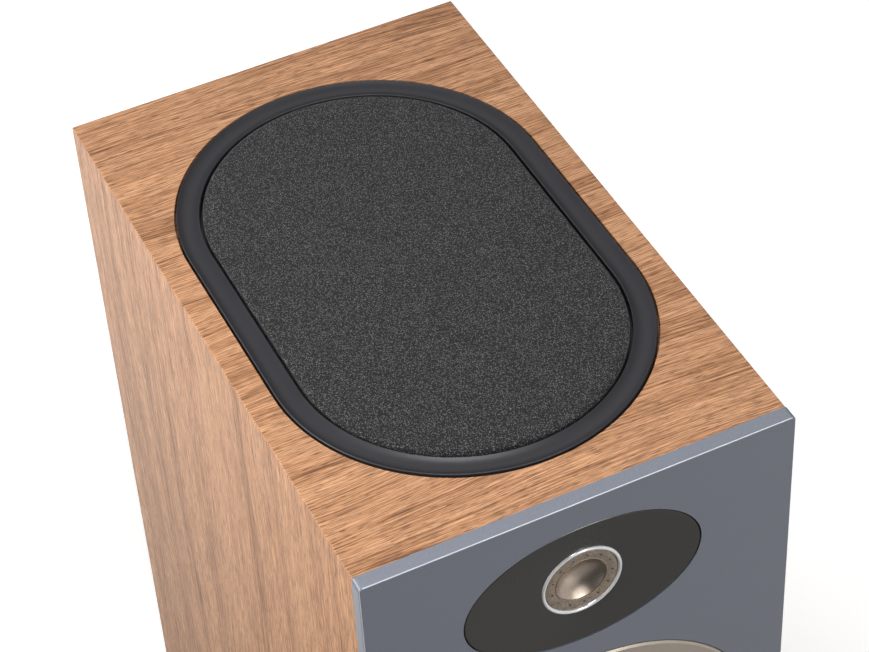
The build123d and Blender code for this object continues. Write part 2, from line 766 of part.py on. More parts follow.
def tweeter_dome():
    """An inverted dome: a shallow bowl with a flat glue flange."""
    rim = -2.9
    wall = 0.3
    flange = dome_radius + 0.8
    bowl = cap_middle(dome_radius, dome_depth, 0)
    middle = (bowl[0], rim - bowl[1])
    under = (bowl[0] + 0.05, rim - wall - bowl[1])
    return turned_edges(
        line((flange, rim), (dome_radius, rim)),
        arc((dome_radius, rim), middle, (0, rim - dome_depth)),
        line((0, rim - dome_depth), (0, rim - dome_depth - wall)),
        arc((0, rim - dome_depth - wall), under, (dome_radius, rim - wall)),
        line((dome_radius, rim - wall), (flange, rim - wall)),
        line((flange, rim - wall), (flange, rim)))


def tweeter_voice_coil():
    return turned((9.3, -5.3), (9.6, -5.3), (9.6, -9.5), (10.0, -9.5), (10.0, -15.5), (9.3, -15.5))


def tweeter_top_plate():
    return tube(17.0, 10.5, -14.0, -11.0)


def tweeter_magnet():
    return tube(17.0, 13.0, -26.0, -14.0)


def tweeter_yoke():
    body = disc(18.0, tweeter_floor, -26.0)
    body = chamfer(body.edges().group_by(Axis.Z)[0], 1.0)
    body += disc(8.8, -26.0, -11.0)
    return body - disc(2.5, -35.0, -10.0)


# ---------------------------------------------------------------- port, terminals, electronics
def port_tube():
    """A straight tube with a trumpet flare on the back panel."""
    inner = port_inner
    outer = port_inner + port_wall
    rim = 3.0
    bend = 12.0
    tube_profile = turned_edges(
        line((inner, -port_length), (outer, -port_length)),
        line((outer, -port_length), (outer, -15)),
        line((outer, -15), (port_collar, -11)),
        line((port_collar, -11), (port_collar, 0)),
        line((port_collar, 0), (port_flare, 0)),
        arc((port_flare, 0), (port_flare - 0.4, rim * 0.8), (port_flare - 2.0, rim)),
        line((port_flare - 2.0, rim), (inner + bend - 1, rim)),
        arc((inner + bend - 1, rim), (inner + 3.2, rim - 4.2), (inner, rim - bend)),
        line((inner, rim - bend), (inner, -port_length)))
    return place(port_frame, tube_profile)


def post_places():
    """Two pairs side by side: a pair for the main drivers and a pair for the height driver."""
    places = []
    for pair in (-1, 1):
        for side in (-1, 1):
            places.append((side * post_spacing / 2, terminal_z + pair * post_pair_spacing / 2))
    return places


def post_frame(place_xz):
    origin = (place_xz[0], wood_back + terminal_thickness, place_xz[1])
    return Plane(origin=origin, x_dir=(-1, 0, 0), z_dir=(0, 1, 0))


def terminal_plate():
    low = (-terminal_half, wood_back, terminal_z - terminal_half)
    high = (terminal_half, wood_back + terminal_thickness, terminal_z + terminal_half)
    plate = block(low, high)
    plate = fillet(plate.edges().filter_by(Axis.Y), 8.0)
    plate = chamfer(plate.edges().group_by(Axis.Y)[-1], 0.8)
    for point in terminal_screw_points:
        plate -= place(terminal_frame, disc(case_screw_radius, -1, 5, point))
    for place_xz in post_places():
        plate -= place(post_frame(place_xz), disc(stem_radius, -5, 1))
    return plate


def post_stem():
    """A brass stem with a collar on the plate, a hex nut behind it and a banana socket."""
    collar = disc(washer_radius, 0, collar_thickness)
    collar = chamfer(collar.edges().group_by(Axis.Z)[-1], 0.4)
    stem = disc(stem_radius, -16.0, stem_top)
    nut = Pos(0, 0, -terminal_thickness - 4.0) * extrude(RegularPolygon(6.5, 6, major_radius=False), 4.0)
    return collar + stem + nut - disc(banana_radius, stem_top - banana_depth, stem_top + 1)


def post_stems():
    return [place(post_frame(position), post_stem()) for position in post_places()]


def post_washer():
    low = collar_thickness
    return tube(washer_radius, stem_radius + 0.05, low, low + washer_thickness)


def post_knob():
    low = collar_thickness + washer_thickness
    high = low + knob_length
    knob = disc(knob_radius, low, high)
    knob = chamfer(knob.edges().group_by(Axis.Z)[-1], 0.8)
    groove = Pos(knob_radius + 0.55, 0, (low + high) / 2 + 1.2) * Cylinder(0.95, knob_length)
    for angle in range(0, 360, 20):
        knob -= Rot(0, 0, angle) * groove
    knob -= disc(stem_radius + 0.05, low - 1, high - knob_end)
    return knob - disc(knob_mouth_radius, low, high + 1)


def crossover_board():
    """A circuit board on four pillars, with a terminal block at each end."""
    low = cabinet_bottom + board
    top = low + 8.0
    sheet = block((-60, -20, top), (60, 70, top + 1.6))
    for x, y in board_points:
        sheet += disc(4.0, low, top, (x, y))
    for y in (-14, 64):
        sheet += block((-18, y - 5, top + 1.6), (18, y + 5, top + 11))
    for x, y in board_points:
        sheet -= disc(case_screw_radius, low - 1, top + 3, (x, y))
    return sheet


def board_top():
    return cabinet_bottom + board + 8.0 + 1.6


def crossover_inductors():
    coils = []
    base = board_top()
    for x, y, radius, width in ((-36, 12, 17, 16), (36, 12, 14, 14), (-38, 46, 12, 12)):
        bobbin = tube(radius - 1.5, 5.0, base + 1.5, base + width - 1.5, (x, y))
        bobbin += tube(radius, 4.0, base, base + 1.5, (x, y))
        bobbin += tube(radius, 4.0, base + width - 1.5, base + width, (x, y))
        coils.append(bobbin)
    return coils


def crossover_capacitors():
    cans = []
    base = board_top()
    for x, y, radius, length in ((0, 10, 8, 28), (2, 38, 7, 26), (36, 44, 6, 24)):
        can = Rot(90, 0, 0) * Cylinder(radius, length)
        can = fillet(can.edges(), 1.0)
        can = Pos(x, y, base + radius) * can
        cans.append(can)
    return cans


# ---------------------------------------------------------------- internal leads
def bend_radii(points):
    """The largest radius that each corner's runs allow."""
    corners = [Vector(*point) for point in points]
    radii = []
    for before, corner, after in zip(corners, corners[1:], corners[2:]):
        turn = (corner - before).get_angle(after - corner)
        shorter = min((corner - before).length, (after - corner).length)
        radii.append(0.45 * shorter / math.tan(math.radians(turn / 2)))
    return radii


def lead(points):
    path = FilletPolyline(*points, radius=bend_radii(points))
    section = Plane(origin=path @ 0, z_dir=path % 0) * Circle(lead_radius)
    return sweep(section, path=path)


def input_lead(side):
    """From a main post's stem down to the board's rear terminal block."""
    x = side * lead_x
    stem_end = wood_back + terminal_thickness - 16.0
    post_z = terminal_z - post_pair_spacing / 2
    block_z = board_top() + 4.7
    return lead([(x, stem_end, post_z), (x, stem_end - 34, post_z), (x, 98, block_z), (x, 69, block_z)])


def woofer_lead(side):
    """From the board's front terminal block to the tag on the woofer's basket."""
    x = side * lead_x
    block_z = board_top() + 4.7
    tag_y = woofer_frame.origin.Y - woofer.base - 2 - woofer.tag_height / 2
    tag_z = woofer_z - woofer.wall_bottom - 5
    return lead([(x, -19, block_z), (x, -75, block_z), (x, tag_y, 95), (x, tag_y, tag_z)])


def tweeter_lead(side):
    """Up past the woofer's side and in under the tweeter's housing."""
    x = side * 5.0
    start_z = board_top() + 9.4
    tag_y = panel_front - tweeter_floor - 3
    tag_z = tweeter_z - housing_radius - 4
    return lead([(x, -14, start_z), (x, -14, 82), (side * 44, -60, 128), (side * 68, -118, 186),
                 (side * 68, -147, 256), (side * 40, tag_y, 308), (x, tag_y, 330), (x, tag_y, tag_z)])


def height_lead_run(side):
    """From a height post's stem past the port and up through the chamber's floor."""
    x = side * lead_x
    stem_end = wood_back + terminal_thickness - 16.0
    post_z = terminal_z + post_pair_spacing / 2
    tag_low = height.flange_thickness + height.base + 2
    below = floor_frame.from_local_coords((side * height_lead[0], height_lead[1], -100))
    end = floor_frame.from_local_coords((side * height_lead[0], height_lead[1], tag_low))
    return lead([(x, stem_end, post_z), (x, stem_end - 24, post_z), (side * 38, 100, 150),
                 (side * 38, 88, 240), tuple(below), tuple(end)])


def internal_leads():
    runs = (input_lead, woofer_lead, tweeter_lead, height_lead_run)
    return [run(side) for run in runs for side in (-1, 1)]


# ---------------------------------------------------------------- screws in their places
def driver_screws():
    woofer_points = circle_points(woofer.screw_circle, woofer.screws, 30)
    height_points = circle_points(height.screw_circle, height.screws, 45)
    screws = [place(woofer_frame, Pos(x, y, -woofer.counterbore) * driver_screw(woofer.screw_length))
              for x, y in woofer_points]
    screws += [place(height_frame, Pos(x, y, 0) * driver_screw(height.screw_length))
               for x, y in height_points]
    behind = Plane(origin=(0, baffle_back, tweeter_z), x_dir=(1, 0, 0), z_dir=(0, 1, 0))
    screws += [place(behind, Pos(x, -z, 0) * driver_screw(tweeter_screw_length))
               for x, z in tweeter_screw_points]
    return screws


def case_screws():
    seat = cabinet_top + ring_screw_seat
    screws = [Pos(x, y, seat) * case_screw(8.0) for x, y in ring_screw_points]
    upward = Plane(origin=(0, 0, 0), x_dir=(1, 0, 0), z_dir=(0, 0, -1))
    under_chamber = floor_frame.offset(-floor_thickness - 3) * upward.location
    screws += [under_chamber * Pos(x, y, 0) * case_screw(5.6) for x, y in chamber_screw_points]
    outside = terminal_frame.offset(terminal_thickness)
    screws += [place(outside, Pos(x, y, 0) * case_screw(12.0)) for x, y in terminal_screw_points]
    screws += [Pos(x, y, board_top()) * case_screw(16.0) for x, y in board_points]
    screws += [Pos(x, y, 3.6) * Rot(180, 0, 0) * case_screw(12.0) for x, y in foot_points]
    return screws


# ---------------------------------------------------------------- write every node
def save_cabinet():
    save("side_panel_left", side_panel(-1))
    save("side_panel_right", side_panel(1))
    save("top_panel", top_panel())
    save("bottom_panel", bottom_panel())
    save("back_panel", back_panel())
    save("inner_baffle", inner_baffle())
    save("front_panel", front_panel())
    save("felt_lining", *felt_lining())
    save("rubber_feet", *rubber_feet())


def save_top():
    save("top_trim_ring", top_trim_ring())
    save("height_well", height_well())
    save("height_chamber", height_chamber())
    save("grille_frame", grille_frame())
    save("grille_cloth", grille_cloth())
    save("grille_magnets", *grille_magnets())


def save_driver(prefix, driver, frame):
    makers = {"basket": basket, "surround": surround, "cone": cone, "dust_cap": dust_cap,
              "voice_coil": voice_coil, "spider": spider, "top_plate": top_plate, "magnet": magnet,
              "yoke": yoke}
    for name, maker in makers.items():
        save(f"{prefix}_{name}", place(frame, maker(driver)))


def save_tweeter():
    makers = {"plate": tweeter_plate, "ring": tweeter_ring, "housing": tweeter_housing,
              "surround": tweeter_surround, "dome": tweeter_dome, "voice_coil": tweeter_voice_coil,
              "top_plate": tweeter_top_plate, "magnet": tweeter_magnet, "yoke": tweeter_yoke}
    for name, maker in makers.items():
        save(f"tweeter_{name}", place(tweeter_frame, maker()))


def save_terminals():
    save("port_tube", port_tube())
    save("terminal_plate", terminal_plate())
    save("post_stems", *post_stems())
    for number, position in enumerate(post_places(), start=1):
        save(f"post_washer_{number}", place(post_frame(position), post_washer()))
        save(f"post_knob_{number}", place(post_frame(position), post_knob()))


def save_electronics():
    save("crossover_board", crossover_board())
    save("crossover_inductors", *crossover_inductors())
    save("crossover_capacitors", *crossover_capacitors())
    save("internal_leads", *internal_leads())


def main():
    os.makedirs("parts", exist_ok=True)
    save_cabinet()
    save_top()
    save_driver("woofer", woofer, woofer_frame)
    save_driver("height", height, height_frame)
    save("woofer_trim_ring", place(woofer_frame, woofer_trim_ring()))
    save_tweeter()
    save_terminals()
    save_electronics()
    save("driver_screws", *driver_screws())
    save("case_screws", *case_screws())


main()
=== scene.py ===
import json
import math

import bmesh
import bpy
from mathutils import Matrix, Vector


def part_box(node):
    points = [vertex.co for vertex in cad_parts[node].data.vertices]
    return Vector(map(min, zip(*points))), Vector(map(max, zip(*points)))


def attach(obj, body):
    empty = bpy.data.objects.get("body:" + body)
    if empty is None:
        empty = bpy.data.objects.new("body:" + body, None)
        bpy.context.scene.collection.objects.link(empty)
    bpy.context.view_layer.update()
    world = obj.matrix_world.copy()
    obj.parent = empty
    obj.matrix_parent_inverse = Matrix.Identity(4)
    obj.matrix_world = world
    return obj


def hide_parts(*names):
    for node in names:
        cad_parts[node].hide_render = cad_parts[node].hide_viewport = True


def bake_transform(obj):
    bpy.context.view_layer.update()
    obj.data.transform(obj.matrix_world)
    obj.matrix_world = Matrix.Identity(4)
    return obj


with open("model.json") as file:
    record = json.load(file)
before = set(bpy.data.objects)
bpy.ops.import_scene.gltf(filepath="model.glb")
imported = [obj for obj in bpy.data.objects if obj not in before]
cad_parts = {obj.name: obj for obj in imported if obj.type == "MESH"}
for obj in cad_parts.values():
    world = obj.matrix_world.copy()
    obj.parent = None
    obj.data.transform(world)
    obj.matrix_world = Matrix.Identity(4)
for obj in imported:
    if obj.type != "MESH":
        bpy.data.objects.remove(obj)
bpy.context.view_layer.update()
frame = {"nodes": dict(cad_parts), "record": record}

nodes = frame["nodes"]
scene = bpy.context.scene
MM = 0.001

# ---------------------------------------------------------------- places, in millimetres
CASE_TOP = 438.0
PANEL_FRONT = -182.5
OPENING_Y = -11.4
OPENING_HALF_STRAIGHT = 50.3
CLOTH_RADIUS = 78.1
CLOTH_TOP = 0.9
CLOTH_EDGE = 1.3
CLOTH_SKIRT = -4.2
WOOFER_Z = 242.7
WOOFER_FLANGE_DEPTH = 3.0
TWEETER_Z = 385.5
DIMPLES = 13
DIMPLE_CIRCLE = 15.1
DIMPLE_RADIUS = 0.95
DIMPLE_DEPTH = 0.60
FIRST_DIMPLE = math.radians(-3.5)
FOAM_OUTER = 17.95
FOAM_INNER = 13.1
FOAM_SEAT = -3.4
FLOOR_HEIGHT = 366.0
TILT = math.radians(20)
HEIGHT_FLANGE = 3.0
SPIDER_GLUE = 1.5
FELT_THICKNESS = 10.0

# ---------------------------------------------------------------- studio
# Each glow: the direction it comes from, the cosine at its edge, and the brightness at its middle.
GLOWS = (
    ((-0.15, 0.80, -0.58), 0.93, 2.0),
    ((0.31, -0.60, -0.74), 0.75, 0.30),
    ((0.30, -0.86, 0.41), 0.86, 1.8),
    ((0.31, -0.74, 0.60), 0.983, 14.0),
    ((0.84, -0.49, -0.21), 0.60, 0.6),
    ((-0.74, 0.60, 0.31), 0.94, 5.0),
    ((0.31, 0.60, 0.74), 0.85, 0.7),
    ((-0.95, -0.25, 0.18), 0.60, 0.45),
)
AMBIENT = 0.12
CENTRE = (0.0, -0.02, 0.33)


# ---------------------------------------------------------------- node materials
class Graph:
    """One procedural material. Positions come in as millimetres in the object's own frame."""

    def __init__(self, name):
        self.material = bpy.data.materials.new(name)
        self.material.use_nodes = True
        self.tree = self.material.node_tree
        self.tree.nodes.clear()
        self.output = self.tree.nodes.new("ShaderNodeOutputMaterial")
        self.shader = self.tree.nodes.new("ShaderNodeBsdfPrincipled")
        self.tree.links.new(self.shader.outputs[0], self.output.inputs[0])
        place = self.tree.nodes.new("ShaderNodeTexCoord")
        scaled = self.tree.nodes.new("ShaderNodeVectorMath")
        scaled.operation = "SCALE"
        scaled.inputs["Scale"].default_value = 1 / MM
        self.tree.links.new(place.outputs["Object"], scaled.inputs[0])
        self.place = scaled.outputs[0]

    def node(self, kind, values=(), inputs=()):
        made = self.tree.nodes.new(kind)
        for key, value in dict(values).items():
            setattr(made, key, value)
        for key, value in dict(inputs).items():
            self.feed(made.inputs[key], value)
        return made

    def feed(self, socket, value):
        if isinstance(value, bpy.types.NodeSocket):
            self.tree.links.new(value, socket)
        elif isinstance(value, tuple) and socket.type == "RGBA" and len(value) == 3:
            socket.default_value = (*value, 1.0)
        else:
            socket.default_value = value

    def math(self, operation, a, b=0.0):
        return self.node("ShaderNodeMath", {"operation": operation}, {0: a, 1: b}).outputs[0]

    def stretch(self, x=1.0, y=1.0, z=1.0, source=None):
        """The position with each axis scaled."""
        factors = {0: source or self.place, 1: (x, y, z)}
        return self.node("ShaderNodeVectorMath", {"operation": "MULTIPLY"}, factors).outputs[0]

    def noise(self, vector, scale=1.0, detail=3.0, roughness=0.5, distortion=0.0):
        inputs = {"Vector": vector, "Scale": scale, "Detail": detail, "Roughness": roughness,
                  "Distortion": distortion}
        return self.node("ShaderNodeTexNoise", {"noise_dimensions": "3D"}, inputs).outputs[0]

    def cells(self, vector, scale=1.0, randomness=1.0):
        inputs = {"Vector": vector, "Scale": scale, "Randomness": randomness}
        return self.node("ShaderNodeTexVoronoi", {"feature": "F1"}, inputs).outputs["Distance"]

    def span(self, value, low, high, to_low=0.0, to_high=1.0):
        inputs = {"Value": value, "From Min": low, "From Max": high, "To Min": to_low,
                  "To Max": to_high}
        return self.node("ShaderNodeMapRange", {"clamp": True}, inputs).outputs[0]

    def mix(self, share, a, b, blend="MIX"):
        mixer = self.node("ShaderNodeMix", {"data_type": "RGBA", "blend_type": blend})
        self.feed(mixer.inputs[0], share)
        self.feed(mixer.inputs[6], a)
        self.feed(mixer.inputs[7], b)
        return mixer.outputs[2]

    def ramp(self, value, *stops):
        made = self.node("ShaderNodeValToRGB", {}, {0: value})
        elements = made.color_ramp.elements
        while len(elements) < len(stops):
            elements.new(0.5)
        for element, (position, colour) in zip(elements, stops):
            element.position = position
            element.color = (*colour, 1.0)
        return made.outputs[0]

    def bump(self, height, distance_mm, strength=1.0):
        inputs = {"Height": height, "Distance": distance_mm * MM, "Strength": strength}
        return self.node("ShaderNodeBump", {}, inputs).outputs[0]

    def grey(self, value):
        """One number as a neutral colour."""
        return self.node("ShaderNodeCombineColor", {}, {0: value, 1: value, 2: value}).outputs[0]

    def distance(self, a, b):
        """The length of the flat vector (a, b)."""
        return self.math("SQRT", self.math("ADD", self.math("MULTIPLY", a, a), self.math("MULTIPLY", b, b)))

    def finish(self, colour=None, roughness=None, normal=None, **constants):
        if colour is not None:
            self.feed(self.shader.inputs["Base Color"], colour)
        if roughness is not None:
            self.feed(self.shader.inputs["Roughness"], roughness)
        if normal is not None:
            self.feed(self.shader.inputs["Normal"], normal)
        for key, value in constants.items():
            self.shader.inputs[key.replace("_", " ")].default_value = value
        return self.material


def tinted(colour, factor):
    return tuple(min(1.0, channel * factor) for channel in colour)


def veneer(name, along, across, seed, light, middle, dark):
    """Quarter-cut veneer: soft bands, narrow streaks, fibres and short dark pores along one axis."""
    g = Graph(name)
    parts = g.node("ShaderNodeSeparateXYZ", {}, {0: g.place}).outputs
    lengthwise = parts["XYZ".index(along)]
    through = parts[3 - "XYZ".index(along) - "XYZ".index(across)]
    sideways = g.math("ADD", parts["XYZ".index(across)], through)
    flat = g.node("ShaderNodeCombineXYZ", {}, {0: lengthwise, 1: sideways, 2: seed}).outputs[0]
    wander = g.noise(g.stretch(0.004, 0.009, 1, flat), 1, 2)
    drift = g.math("MULTIPLY", g.math("SUBTRACT", wander, 0.5), 26.0)
    bent = g.math("ADD", sideways, drift)
    board = g.node("ShaderNodeCombineXYZ", {}, {0: lengthwise, 1: bent, 2: seed}).outputs[0]
    bands = g.noise(g.stretch(0.0022, 0.075, 1, board), 1, 3, 0.55)
    streaks = g.noise(g.stretch(0.018, 0.85, 1, board), 1, 4, 0.7, 0.2)
    fibres = g.noise(g.stretch(0.050, 1.7, 1, board), 1, 3, 0.6)
    pores = g.noise(g.stretch(0.13, 2.3, 1.7, board), 1, 2, 0.5)
    tone = g.math("ADD", g.math("MULTIPLY", bands, 0.35), g.math("MULTIPLY", streaks, 0.65))
    colour = g.ramp(tone, (0.38, dark), (0.455, middle), (0.54, light))
    fibre_tone = g.span(fibres, 0.36, 0.64, 0.64, 1.24)
    colour = g.mix(1.0, colour, g.grey(fibre_tone), "MULTIPLY")
    pore = g.span(pores, 0.56, 0.63)
    colour = g.mix(g.math("MULTIPLY", pore, 0.74), colour, tinted(dark, 0.55))
    relief = g.math("SUBTRACT", g.math("MULTIPLY", fibres, 0.35), g.math("MULTIPLY", pore, 0.8))
    roughness = g.span(streaks, 0.3, 0.7, 0.56, 0.48)
    return g.finish(colour, roughness, g.bump(relief, 0.05, 0.7),
                    Specular_IOR_Level=0.3, Coat_Weight=0.2, Coat_Roughness=0.22)


def moulded(name, colour, roughness, grain=2.2, depth=0.012, streak=0.10):
    """Moulded or painted plastic: a fine even texture, and slow changes of tone and gloss."""
    g = Graph(name)
    slow = g.noise(g.place, 0.025, 3)
    fine = g.noise(g.place, grain, 3, 0.6)
    tone = g.mix(slow, tinted(colour, 1 - streak), tinted(colour, 1 + streak))
    gloss = g.math("ADD", g.span(slow, 0.3, 0.7, roughness - 0.03, roughness + 0.03),
                   g.math("MULTIPLY", g.math("SUBTRACT", fine, 0.5), 0.08))
    return g.finish(tone, gloss, g.bump(fine, depth, 0.8))


def painted_board(name, colour):
    """Satin paint with a fine metallic grain, a faint orange peel and a painted highlight: a pale line
    painted along the front edges.
    """
    g = Graph(name)
    low, high = (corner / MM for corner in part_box("front_panel"))
    parts = g.node("ShaderNodeSeparateXYZ", {}, {0: g.place}).outputs
    at_side = g.span(g.math("ABSOLUTE", parts[0]), high.x - 0.5, high.x - 0.2)
    at_top = g.span(parts[2], high.z - 0.5, high.z - 0.2)
    at_front = g.span(parts[1], low.y + 0.2, low.y + 0.55, 1.0, 0.0)
    # Painted highlight: this mask marks a pale line along the panel's front edges, standing in for light
    # caught on the edge radius.
    painted_edge_highlight = g.math("MULTIPLY", at_front, g.math("MAXIMUM", at_side, at_top))
    grain = g.noise(g.place, 1.6, 3, 0.7)
    peel = g.noise(g.place, 0.45, 2)
    slow = g.noise(g.place, 0.012, 2)
    tone = g.mix(g.span(grain, 0.35, 0.65), tinted(colour, 0.90), tinted(colour, 1.11))
    tone = g.mix(g.math("MULTIPLY", slow, 0.10), tone, tinted(colour, 1.3))
    # The pale colour mixed in here is the painted highlight along the front edges, not a colour of the real
    # paint.
    tone = g.mix(g.math("MULTIPLY", painted_edge_highlight, 0.9), tone, (0.86, 0.88, 0.93))
    height = g.math("ADD", g.math("MULTIPLY", peel, 0.7), g.math("MULTIPLY", grain, 0.3))
    gloss = g.span(grain, 0.3, 0.7, 0.34, 0.42)
    return g.finish(tone, gloss, g.bump(height, 0.014, 0.6), Coat_Weight=0.6, Coat_Roughness=0.09)


def brushed(name, colour, roughness, axis_scales, metallic=1.0, depth=0.004):
    """Turned or brushed metal with hairlines along the axis that is scaled least."""
    g = Graph(name)
    lines = g.noise(g.stretch(*axis_scales), 1, 4, 0.7)
    cloud = g.noise(g.place, 0.05, 3)
    tone = g.mix(g.span(lines, 0.3, 0.7), tinted(colour, 0.93), tinted(colour, 1.06))
    tone = g.mix(g.math("MULTIPLY", cloud, 0.12), tone, tinted(colour, 0.7))
    gloss = g.math("ADD", g.span(lines, 0.3, 0.7, roughness * 0.85, roughness * 1.15),
                   g.span(cloud, 0.3, 0.7, -0.02, 0.03))
    return g.finish(tone, gloss, g.bump(lines, depth, 0.6), Metallic=metallic)


def rubber(name, colour, roughness=0.55):
    g = Graph(name)
    fine = g.noise(g.place, 1.4, 4, 0.65)
    dust = g.noise(g.place, 0.09, 4, 0.6)
    tone = g.mix(g.span(dust, 0.35, 0.75), colour, tinted(colour, 1.7))
    gloss = g.span(fine, 0.3, 0.7, roughness - 0.08, roughness + 0.1)
    return g.finish(tone, gloss, g.bump(fine, 0.02, 0.7))


def knit(name, dark, light):
    """Fine acoustic knit: small loops in loose rows, with a painted highlight on each loop's top and painted
    shade in the gap beside it.
    """
    g = Graph(name)
    push = g.noise(g.place, 0.45, 2)
    shifted = g.node("ShaderNodeVectorMath", {"operation": "ADD"}, {0: g.place}).outputs[0]
    spread = {0: g.math("MULTIPLY", push, 1.6), 1: g.math("MULTIPLY", push, -1.4), 2: 0.0}
    g.tree.links.new(g.node("ShaderNodeCombineXYZ", {}, spread).outputs[0], shifted.node.inputs[1])
    loops = g.cells(g.stretch(1.0, 1.0, 0.6, shifted), 1.55, 0.9)
    thread = g.noise(shifted, 2.0, 3, 0.65)
    fuzz = g.noise(g.place, 4.0, 2)
    height = g.math("ADD", g.math("MULTIPLY", g.span(loops, 0.05, 0.62, 1.0, 0.0), 0.5),
                    g.math("MULTIPLY", thread, 0.7))
    # Painted highlight and painted shade: the colour goes from dark to light with loop height, so tops are
    # painted lit and gaps painted shaded.
    shade = g.span(height, 0.58, 0.69)
    colour = g.mix(shade, dark, light)
    colour = g.mix(g.math("MULTIPLY", fuzz, 0.10), colour, tinted(light, 0.8))
    return g.finish(colour, g.span(fuzz, 0.3, 0.7, 0.75, 0.95), g.bump(height, 0.28, 0.9),
                    Sheen_Weight=0.12, Sheen_Roughness=0.5, Specular_IOR_Level=0.25)


def felt(name, colour):
    g = Graph(name)
    fibres = g.noise(g.place, 0.9, 5, 0.75, 2.5)
    tufts = g.noise(g.place, 0.12, 3)
    tone = g.mix(fibres, tinted(colour, 0.6), tinted(colour, 1.5))
    tone = g.mix(g.math("MULTIPLY", tufts, 0.35), tone, tinted(colour, 0.5))
    return g.finish(tone, g.span(fibres, 0.3, 0.7, 0.85, 1.0), g.bump(fibres, 0.5, 0.8), Sheen_Weight=0.4)


def woven_cone(name, colour, across):
    """A cone woven of flat tows under a satin coat."""
    g = Graph(name)
    parts = g.node("ShaderNodeSeparateXYZ", {}, {0: g.place}).outputs
    first = g.math("SINE", g.math("MULTIPLY", parts[0], 2.1))
    second = g.math("SINE", g.math("MULTIPLY", parts["XYZ".index(across)], 2.1))
    weave = g.math("MULTIPLY", first, second)
    fibre = g.noise(g.place, 1.8, 3, 0.6)
    height = g.math("ADD", g.math("MULTIPLY", weave, 0.25), g.math("MULTIPLY", fibre, 0.5))
    tone = g.mix(g.span(height, -0.05, 0.6), tinted(colour, 0.65), tinted(colour, 1.35))
    return g.finish(tone, g.span(fibre, 0.3, 0.7, 0.38, 0.5), g.bump(height, 0.10, 0.7))


def winding(name, colour, axis):
    """Enamelled wire in close turns."""
    g = Graph(name)
    parts = g.node("ShaderNodeSeparateXYZ", {}, {0: g.place}).outputs
    turns = g.math("SINE", g.math("MULTIPLY", parts["XYZ".index(axis)], 12.0))
    tone = g.mix(g.span(turns, -1.0, 0.6), tinted(colour, 0.35), colour)
    scuffs = g.noise(g.place, 0.4, 3)
    return g.finish(tone, g.span(scuffs, 0.3, 0.7, 0.25, 0.4), g.bump(turns, 0.08, 0.8), Metallic=0.85)


def resin_cloth(name, colour):
    g = Graph(name)
    parts = g.node("ShaderNodeSeparateXYZ", {}, {0: g.place}).outputs
    threads = g.math("MULTIPLY", g.math("SINE", g.math("MULTIPLY", parts[0], 7.0)),
                     g.math("SINE", g.math("MULTIPLY", parts[2], 7.0)))
    stain = g.noise(g.place, 0.2, 3)
    tone = g.mix(g.span(threads, -0.8, 0.8), tinted(colour, 0.7), colour)
    tone = g.mix(g.math("MULTIPLY", stain, 0.3), tone, tinted(colour, 0.6))
    return g.finish(tone, g.span(stain, 0.3, 0.7, 0.5, 0.7), g.bump(threads, 0.08, 0.6))


def pressed_foam(name, colour):
    """Closed-cell foam of a tweeter surround: mottled and finely pitted, with painted shade darkening each
    dimple towards its middle.
    """
    g = Graph(name)
    parts = g.node("ShaderNodeSeparateXYZ", {}, {0: g.place}).outputs
    rise = g.math("SUBTRACT", parts[2], TWEETER_Z)
    angle = g.math("SUBTRACT", g.math("ARCTAN2", rise, parts[0]), FIRST_DIMPLE)
    turn = g.math("MULTIPLY", angle, DIMPLES / (2 * math.pi))
    past_nearest = g.math("SUBTRACT", turn, g.math("ROUND", turn))
    sideways = g.math("MULTIPLY", past_nearest, 2 * math.pi * DIMPLE_CIRCLE / DIMPLES)
    outward = g.math("SUBTRACT", g.distance(parts[0], rise), DIMPLE_CIRCLE)
    from_dimple = g.distance(sideways, outward)
    mottle = g.noise(g.place, 0.9, 4, 0.7)
    pits = g.cells(g.place, 2.0, 1.0)
    tone = g.mix(g.span(mottle, 0.36, 0.64), tinted(colour, 0.62), tinted(colour, 1.32))
    tone = g.mix(g.span(pits, 0.0, 0.22, 0.35, 0.0), tone, tinted(colour, 0.45))
    # Painted shade: each pressed dimple is painted darker towards its middle, standing in for the shade
    # inside the pit.
    tone = g.mix(g.span(from_dimple, 0.25, DIMPLE_RADIUS, 0.85, 0.0), tone, tinted(colour, 0.15))
    raised = g.math("MULTIPLY", g.span(pits, 0.0, 0.4), 0.6)
    height = g.math("ADD", g.math("MULTIPLY", mottle, 0.4), raised)
    return g.finish(tone, g.span(mottle, 0.3, 0.7, 0.36, 0.5), g.bump(height, 0.05, 0.8))


def spun_dome(name, colour):
    """Thin satin metal foil pressed into a bowl."""
    g = Graph(name)
    grain = g.noise(g.place, 2.6, 3, 0.6)
    clouds = g.noise(g.place, 0.22, 3)
    tone = g.mix(g.span(clouds, 0.3, 0.7), tinted(colour, 0.88), tinted(colour, 1.08))
    gloss = g.span(grain, 0.3, 0.7, 0.20, 0.30)
    return g.finish(tone, gloss, g.bump(grain, 0.006, 0.6), Metallic=1.0)


WALNUT_TOP = ((0.540, 0.286, 0.150), (0.370, 0.174, 0.081), (0.155, 0.066, 0.029))
WALNUT_SIDE = ((0.600, 0.314, 0.158), (0.450, 0.214, 0.100), (0.230, 0.098, 0.042))

